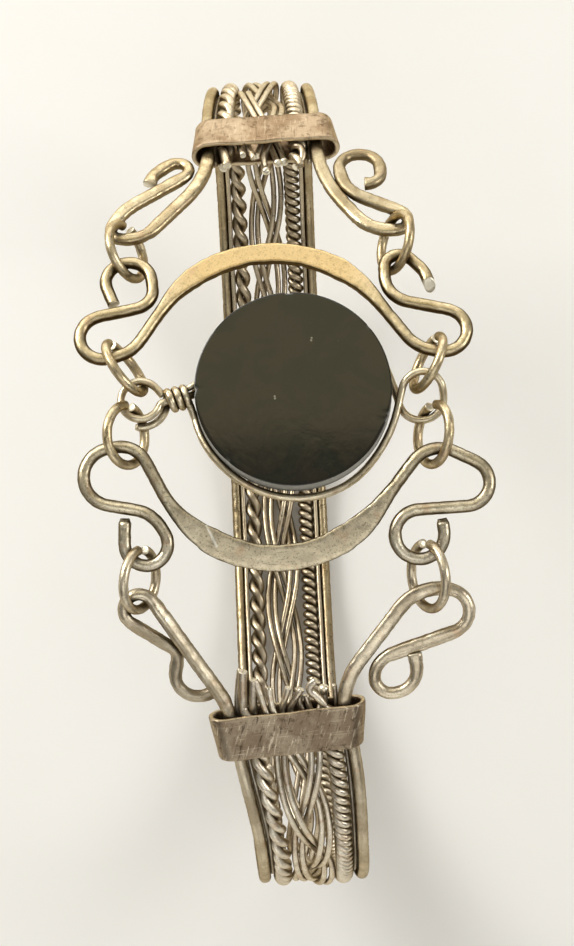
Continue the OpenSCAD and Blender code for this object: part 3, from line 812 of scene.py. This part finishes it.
def stone_wire():
    """The wire round the stone, from its cut end through the wraps, round the stone's rim and back to the left
    loop. A short piece stands for the wire's other end."""
    h = heading(STONE_PEGS[4], STONE_PEGS[5])
    neck = np.array(peg_point(STONE_PEGS[4], h))
    along = np.array([-math.cos(rad(h)), -math.sin(rad(h)), 0])
    up = np.array([math.sin(rad(h)), -math.cos(rad(h)), 0])
    start = neck - along * (WRAP_TURNS * WRAP_PITCH + 0.3)

    def wrap(a):
        return start + along * WRAP_PITCH * (a + 90) / 360 \
            + WRAP_R * (math.cos(rad(a)) * up + np.array([0, 0, math.sin(rad(a))]))

    tail = round_pegs([[*LOOP_MID, LOOP_R + 0.48, 1, -0.7]], -8, 80, FINE_SAG)
    wraps = np.array([wrap(a) for a in np.arange(-70, -90 + 360 * WRAP_TURNS, 4.0)])
    rest = bent(STONE_PEGS, -80, -52, after=0.85, step=0.1, soft=0.15)
    # The rim's lower half is higher at the left, and lower and nearer to the stone at the right
    around = np.degrees(np.arctan2(rest[:, 1] - STONE_MID[1], rest[:, 0] - STONE_MID[0]))
    rest[:, 2] += 0.6 * hump(around, -138, 26) - 0.35 * hump(around, -58, 24)
    near = 0.32 * hump(around, -36, 26) * (np.arange(len(rest)) < len(rest) / 2)
    rest[:, 0] -= near * np.cos(np.radians(around))
    rest[:, 1] -= near * np.sin(np.radians(around))
    p = blurred(resample(np.vstack([tail, wraps, rest]), 0.09), 1.4)
    lift = np.array([0, 0, STONE_Z - WIRE_DROP])
    parts = Parts()
    parts.sweep(p + lift, STONE_WIRE_D / 2 + 0.02, sides=20, relief=0.012, seed=31, ends=("pinch", "flat"))
    # The loop's other end comes out of the wraps and points at the stone
    tip = [(-0.9, 0.42, 0.2), (-0.5, 0.46, 0.3), (-0.1, 0.52, 0.4), (0.25, 0.6, 0.45), (0.55, 0.72, 0.5)]
    tip = np.array([neck + along * a + up * b + np.array([0, 0, c]) for a, b, c in tip])
    parts.sweep(blurred(resample(tip, 0.08), 2) + lift, 0.26, sides=18, relief=0.01, seed=32)
    parts.make("stone_wire_round", lit_silver, "stone_wire")


stone_wire()


# The disc's outline isn't quite round, and it lies a little left of and below its place in the source
STONE_STRETCH, STONE_SHIFT = (0.993, 1.015), (0.08, 0.12)
# The chips in its upper edge: where round the disc in degrees, how wide in radians and how deep
CHIPS = [(90.8, 0.022, 0.12), (88.6, 0.018, 0.07), (178.6, 0.028, 0.12), (226, 0.02, 0.04), (338, 0.02, 0.05),
         (342, 0.015, 0.05), (37, 0.02, 0.04)]


def stone():
    """A turned disc with a small bevel above and a wide one below. Its wall is unpolished and pale, paler near
    the top as painted light and darker towards the bottom as painted shade."""
    r, t = STONE_D / 2, STONE_T
    profile = [(0.0, t)]
    profile += [(x, t) for x in (1.5, 3, 4.5, 6, 7, r - 0.3, r - 0.15)]
    profile += [(r - 0.07, t - 0.01), (r - 0.03, t - 0.035), (r - 0.01, t - 0.08)]
    profile += [(r, t - down) for down in (0.16, 0.5, 0.9, 1.2, 1.5)]
    profile += [(r - 0.03, BEVEL), (r - BEVEL, 0.02), (r - BEVEL - 0.15, 0.0), (4.0, 0.0), (0.0, 0.0)]
    turn = 240
    across, up = STONE_STRETCH
    verts, faces, uvs, work, deep, rings = [], [], [], [], [], []
    for i, (x, z) in enumerate(profile):
        if x == 0:
            rings.append([len(verts)])
            verts.append((0, 0, z))
            work.append(0)
            deep.append(0)
            continue
        rings.append(list(range(len(verts), len(verts) + turn)))
        wall = x > r - 0.02 and z < t
        # Painted light and shade on the unpolished wall: pale near the top, dark towards the bottom
        ground_and_lit = 0.9 * (1 - 0.85 * float(smooth((t - 0.8 - z) / 1.1))) if wall else 0
        edge = float(smooth((x - 7.72) / 0.25) * smooth((z - 0.6) / 0.9))
        for k in range(turn):
            a = 2 * math.pi * k / turn
            cut = edge * sum(d * math.exp(-((a - math.radians(c)) / w) ** 2) for c, w, d in CHIPS)
            q = x - cut + 0.006 * math.sin(5 * a + i)
            verts.append((q * math.cos(a) * across, q * math.sin(a) * up, z - 0.25 * cut))
            work.append(min(1.0, ground_and_lit + 3.5 * cut) if x > 7.3 else 0)
            deep.append(1.0 if z < t - 0.7 or ground_and_lit else 0.0)
    for over, under in zip(rings, rings[1:]):
        for k in range(turn):
            k2 = (k + 1) % turn
            if len(over) == 1:
                f = [over[0], under[k], under[k2]]
            elif len(under) == 1:
                f = [over[k], under[0], over[k2]]
            else:
                f = [over[k], under[k], under[k2], over[k2]]
            faces.append(f)
            uvs += [verts[i][:2] for i in f]
    v = np.array(verts) + [STONE_MID[0] - STONE_SHIFT[0], STONE_MID[1] - STONE_SHIFT[1], STONE_Z - t / 2]
    parts = Parts()
    parts.add(v, faces, uvs, np.array(deep), np.array(work, float))
    parts.make("stone_disc", stone_gloss, "stone")


stone()


# The band
def edge_wire(node, side, upper, lower, longer):
    """An edge wire from its upper scroll's free end round the back to its lower scroll's. upper and lower hold
    each scroll's pegs and its directions at the mouth and at its end. longer is added to the lower end."""
    round_once = np.array([0, 2 * HALF_LEN, 0])

    def whole(steps, sag):
        s = UPPER_MOUTH + BAND_LEN * np.arange(1, steps) / steps
        band = np.column_stack([band_mid(s) + side * EDGE_OFF - side * band_pinch(s), s, 0 * s])
        low = lead(round_pegs(*lower, sag), 0, longer)
        return np.vstack([round_pegs(*upper, sag)[::-1], band, low + round_once])

    p = fine_path(whole(SOURCE_STEPS, SOURCE_SAG), whole(FINE_STEPS, FINE_SAG), step=0.2, soft=0.3)
    # The scrolls are beaten a little flat where they run straight
    past = np.maximum(UPPER_MOUTH - p[:, 1], p[:, 1] - UPPER_MOUTH - BAND_LEN)
    beaten = straightness(p) * smooth((past + 1) / 2)

    def deep(grid):
        """Darker below the lower ferrule, on the left leg above it and on the upper right leg."""
        y = -grid[..., 1]
        below = 0.18 * smooth((y - 28) / 2) * smooth((grid[..., 2] + 16) / 8)
        leg = 0.28 * smooth((y - 17) / 2) * smooth((27 - y) / 1.5) * (side < 0) * (grid[..., 2] > 0)
        far = 0.34 * smooth((-y - 16) / 2) * smooth((27 + y) / 1.5) * (side > 0) * (grid[..., 2] > 0)
        return np.maximum(np.maximum(below, leg), far)

    parts = Parts()
    parts.sweep(on_oval(p), FORM_D / 2 * (1.04 + 0.17 * beaten), FORM_D / 2 * (0.99 - 0.12 * beaten),
                first=oval_normal(p[:1, 1])[0], power=2 + 0.9 * beaten, sides=26, relief=0.024,
                seed=40 + side, deep=deep, spans=(0.8, 1.7, 3.6))
    parts.make(node + "_round", silver, node)


edge_wire("edge_wire_left", -1, (UPPER_LEFT, -92, 266), (LOWER_LEFT, 92, 30), 0.7)
edge_wire("edge_wire_right", 1, (UPPER_RIGHT, -88, 165), (LOWER_RIGHT, 88, 100), 0.95)


def leaning(p, upper, lower):
    """Bends a band wire's two ends past the mouths: how far across and up each has moved at 3 mm past its
    mouth. A third value curls the end back from 1.3 mm past the mouth."""
    q = p.copy()
    s = p[:, 1]
    for past, (across, up, *back) in ((UPPER_MOUTH - s, upper), (s - UPPER_MOUTH - BAND_LEN, lower)):
        t = (np.clip(past, 0, None) / 3) ** 1.5
        q[:, 0] += across * t
        q[:, 2] += up * t
        for b in back:
            q[:, 0] += b * np.clip(past - 1.3, 0, None) ** 2
    return q


def inner_wire(node, side, out, seed, lower):
    """The thin wire beside an edge wire. out is how far it reaches past both mouths, lower its lower end's
    lean."""
    p = band_path(side * INNER_OFF, out, -INNER_LOW, 0.25)
    p[:, 0] += 0.02 * np.sin(p[:, 1] / 1.9 + seed)
    p = leaning(p, (0, 0), lower)
    parts = Parts()
    parts.sweep(on_oval(p), INNER_D / 2, first=oval_normal(p[:1, 1])[0], sides=14, relief=0.006, seed=seed,
                ends=("pinch", "pinch"))
    parts.make(node + "_round", band_metal, node)


inner_wire("inner_wire_left", -1, [0.8, 3.3], 51, (0.35, 0.4))
inner_wire("inner_wire_right", 1, [1, 1.5], 52, (-0.2, 0.2))


def rope(node, off, pitch, d, seed, rest, ends):
    """Two wires twisted round each other, loosely past the upper mouth and not past the lower one, where the
    first wire lies at the angle rest. ends holds each wire's lengths past the mouths, leans and kinds."""
    helix = (ROPE_D + 0.1 - d) / 2
    low = UPPER_MOUTH + BAND_LEN

    def twist(at):
        return 2 * np.pi * (at + 0.12 * np.sin(at / 3.1 + seed)) / pitch

    settle = rest + 2 * np.pi * round((twist(low) - rest) / (2 * np.pi)) - twist(low)
    parts = Parts()
    for i, (out, upper, lower, kinds) in enumerate(ends):
        p = band_path(off, out, 0.0, pitch / 18)
        s = p[:, 1]
        within = np.minimum(s, low)
        loose = np.maximum(within, UPPER_MOUTH) + 0.45 * np.minimum(s - UPPER_MOUTH, 0)
        turn = twist(loose) + settle * smooth((s - low + 4) / 4) + np.pi * i
        q = leaning(p, upper, lower)
        q[:, 0] += helix * np.cos(turn)
        q[:, 2] += helix * np.sin(turn)

        def deep(grid, axis=on_oval(p), s=s):
            """Darker near the rope's middle, between the mouths."""
            away = np.linalg.norm(grid - axis[:, None, :], axis=2)
            inside = (s > UPPER_MOUTH) & (s < low)
            return np.clip(1.1 - away / (0.42 * ROPE_D), 0, 1) ** 1.3 * inside[:, None]

        parts.sweep(on_oval(q), d / 2, normals=oval_normal(s), sides=14, relief=0.01, seed=seed + i,
                    ends=kinds, deep=deep)
    parts.make(node + "_twist", band_metal, node)


rope("rope_left", -ROPE_OFF, 3.9, 0.8, 60, math.pi, [
    ([2.0, 3.3], (-0.4, 0.2), (0.1, 0.4), ("flat", "flat")),
    ([1.5, 2.5], (-0.3, 0.3), (0.2, 0.3), ("flat", "flat"))])
rope("rope_right", ROPE_OFF, 1.76, 0.66, 64, math.pi / 2, [
    ([1.7, 2.4], (-0.7, 0.3), (-3.2, 0.5, 1.4), ("flat", "flat")),
    ([2.3, 0.9], (-0.3, 0.2), (0, 0.2), ("pinch", "ball"))])


def braid_strand(number, wires):
    """Two wires side by side. wires holds each one's lengths past the mouths, leans and kinds of end."""
    parts = Parts()
    for k, (out, upper, lower, kinds) in enumerate(wires):
        n = int((BAND_LEN + out[0] + out[1]) / 0.25)
        s = np.linspace(UPPER_MOUTH - out[0], UPPER_MOUTH + BAND_LEN + out[1], n)
        a = 2 * np.pi * (BRAID_TURNS * (s - UPPER_MOUTH) / BAND_LEN + (number - 1) / 3)
        near = band_pinch(s)
        beside = (k - 0.5) * (BRAID_D + PAIR_GAP)
        across = band_mid(s) + (BRAID_SWAY - near) * np.sin(a) + beside
        across += 0.03 * np.sin(s / 1.7 + number + 2 * k)
        p = np.column_stack([across, s, (BRAID_RISE + 0.25 * near) * np.sin(2 * a)])
        parts.sweep(on_oval(leaning(p, upper, lower)), BRAID_D / 2 + 0.03, first=oval_normal(s[:1])[0],
                    sides=16, relief=0.012, seed=70 + 2 * number + k, ends=kinds)
    node = f"braid_strand_{number}"
    parts.make(node + "_wires", band_metal, node)


BRAID = {
    1: [([0.4, 1.8], (0, 0.2), (-0.2, 0.2), ("flat", "flat")),
        ([2.0, 1.6], (1.2, 0.5), (0.9, 0.3), ("ball", "flat"))],
    2: [([1.0, 1.4], (0.1, 0.4), (0.8, 0.3), ("ball", "flat")),
        ([0.8, 0.8], (-0.2, 0.4), (0, 0), ("ball", "flat"))],
    3: [([0.9, 2.5], (0, 0.3), (-0.6, 0.4), ("flat", "flat")),
        ([1.4, 1.8], (0.2, 0.3), (0, 0.2), ("pinch", "flat"))]}
for number, wires in BRAID.items():
    braid_strand(number, wires)


def ferrule(node, mid, s, askew, turn, seed, material):
    """A sleeve of thin sheet round the band, wider at its mouth, with a rounded edge and small dents."""
    m = laid(mid, s, 0, askew) @ Matrix.Rotation(rad(turn * 90), 4, "X")
    around = 200
    l = FERRULE_L / 2
    # Rows along the inner wall to the mouth, over its edge, back along the outside and over the far edge
    rows = [(z, 0) for z in np.linspace(-l + 0.15, l - 0.12, 14)]
    rows += [(l - 0.04, 0.04), (l, 0.13), (l, 0.26), (l - 0.04, 0.36)]
    rows += [(z, SHEET) for z in np.linspace(l - 0.13, -l + 0.13, 18)]
    rows += [(-l + 0.04, 0.36), (-l, 0.26), (-l, 0.13), (-l + 0.04, 0.04)]
    verts, marks, work = [], [], []
    dist = 0
    for i, (z, out) in enumerate(rows):
        f = (z + l) / (2 * l)
        w = FERRULE_BACK_W + (FERRULE_W - FERRULE_BACK_W) * f
        half, r = (w - FERRULE_H) / 2, FERRULE_H / 2 - SHEET + out
        side_len = math.pi * r
        total = 4 * half + 2 * side_len
        if i:
            dist += math.hypot(z - rows[i - 1][0], out - rows[i - 1][1])
        for k in range(around):
            q = total * k / around
            if q < 2 * half:
                x, y, nx, ny = -half + q, r, 0, 1
            elif q < 2 * half + side_len:
                c = (q - 2 * half) / r
                nx, ny = math.sin(c), math.cos(c)
                x, y = half + r * nx, r * ny
            elif q < 4 * half + side_len:
                x, y, nx, ny = half - (q - 2 * half - side_len), -r, 0, -1
            else:
                c = (q - 4 * half - side_len) / r
                nx, ny = -math.sin(c), -math.cos(c)
                x, y = -half + r * nx, r * ny
            dent = 0.035 * math.sin(x * 0.9 + seed) * math.sin(z * 1.1 + 0.7 * seed)
            dent += 0.02 * math.sin(2.3 * x + z + seed) - 0.045
            edge = 0.03 * math.sin(1.3 * x + seed) * (1 if out else 0.5)
            verts.append(tuple(m @ Vector((x + nx * dent, y + ny * dent, z + edge))))
            marks.append((q, dist))
            work.append(0.75 if 0.1 < out < 0.3 else 0.0)
    n = len(rows)
    faces, uvs = [], []
    for i in range(n):
        j = (i + 1) % n
        for k in range(around):
            k2 = (k + 1) % around
            faces.append([i * around + k, i * around + k2, j * around + k2, j * around + k])
            for r0, c0 in ((i, k), (i, k2), (j, k2), (j, k)):
                u, v = marks[r0 * around + c0]
                if k == around - 1 and c0 == k2:
                    u += marks[r0 * around + around - 1][0]
                uvs.append((u, dist + 0.1 if i == n - 1 and r0 == j else v))
    parts = Parts()
    parts.add(np.array(verts), faces, uvs, np.zeros(len(verts)), np.array(work))
    parts.make(node + "_sheet", material, node)


tan_sheet = ferrule_metal("tan ferrule sheet", (0.36, 0.25, 0.15), (0.54, 0.41, 0.27), (0.78, 0.66, 0.46),
                          (0.13, 0.08, 0.04), 0.55)
ferrule("ferrule_upper", UPPER_MID, UPPER_MOUTH + FERRULE_L / 2, UPPER_ASKEW, 1, 3, tan_sheet)
# A darker copy of the sleeve sheet for the lower sleeve: partly a tone of its own, partly painted shade
brown_shaded_sheet = ferrule_metal("brown shaded ferrule sheet", (0.28, 0.21, 0.14), (0.42, 0.34, 0.24), (0.80, 0.70, 0.52),
                            (0.08, 0.055, 0.033), 0.8)
ferrule("ferrule_lower", LOWER_MID, -LOWER_MOUTH - FERRULE_L / 2, LOWER_ASKEW, -1, 5, brown_shaded_sheet)


# Floor and light
def floor():
    mesh = bpy.data.meshes.new("floor")
    w, z = 1.2, (-HALF_H - ROPE_D / 2 - 0.3) * MM
    mesh.from_pydata([(-w, -w, z), (w, -w, z), (w, w, z), (-w, w, z)], [], [(0, 1, 2, 3)])
    obj = bpy.data.objects.new("floor", mesh)
    bpy.context.collection.objects.link(obj)
    m, t, b = nodes_of("floor paper")
    p = place(t)
    colour = mixed(t, noise(t, p, 0.05, 3), (0.86, 0.845, 0.80), (0.90, 0.885, 0.85))
    t.links.new(colour, b.inputs["Base Color"])
    b.inputs["Roughness"].default_value = 0.85
    mesh.materials.append(m)


def softbox(name, at, target, size, radiance, colour):
    """A rectangular soft light. radiance is its own brightness."""
    data = bpy.data.lights.new(name, "AREA")
    data.shape = "RECTANGLE"
    data.size, data.size_y = size[0] * MM, size[1] * MM
    data.energy = radiance * math.pi * data.size * data.size_y
    data.color = colour
    obj = bpy.data.objects.new(name, data)
    at, target = Vector(at) * MM, Vector(target) * MM
    obj.location = at
    obj.rotation_euler = (target - at).to_track_quat("-Z", "Y").to_euler()
    bpy.context.collection.objects.link(obj)


def sky(near, far):
    """A plain sky that is darker on the near side and brighter on the far side."""
    world = bpy.data.worlds.new("studio")
    bpy.context.scene.world = world
    world.use_nodes = True
    t = world.node_tree
    tc = t.nodes.new("ShaderNodeTexCoord")
    xyz = t.nodes.new("ShaderNodeSeparateXYZ")
    t.links.new(tc.outputs["Generated"], xyz.inputs[0])
    background = t.nodes["Background"]
    background.inputs["Color"].default_value = (1.0, 0.98, 0.94, 1)
    t.links.new(ranged(t, xyz.outputs["Y"], -0.6, 0.9, near, far), background.inputs["Strength"])


floor()
softbox("window", (-310, 230, 250), (0, 0, 0), (240, 240), 8.0, (1.0, 0.99, 0.97))
softbox("right window", (330, -10, 250), (0, 0, 0), (180, 180), 4.5, (1.0, 0.99, 0.97))
softbox("back wall", (0, 470, 130), (0, 0, 10), (620, 180), 2.4, (1.0, 0.99, 0.96))
softbox("sky card", (0, 212, 526), (0, 212, 0), (330, 150), 0.95, (1.0, 0.86, 0.48))
softbox("far sky", (0, 440, 470), (0, 60, 0), (420, 240), 1.3, (1.0, 0.98, 0.94))
softbox("near sky", (0, -300, 430), (0, 0, 0), (460, 300), 1.15, (1.0, 0.99, 0.96))
softbox("near wall", (0, -480, 120), (0, -20, 0), (520, 170), 1.2, (1.0, 0.99, 0.96))
sky(0.16, 0.28)
bpy.context.scene.view_settings.view_transform = "Standard"
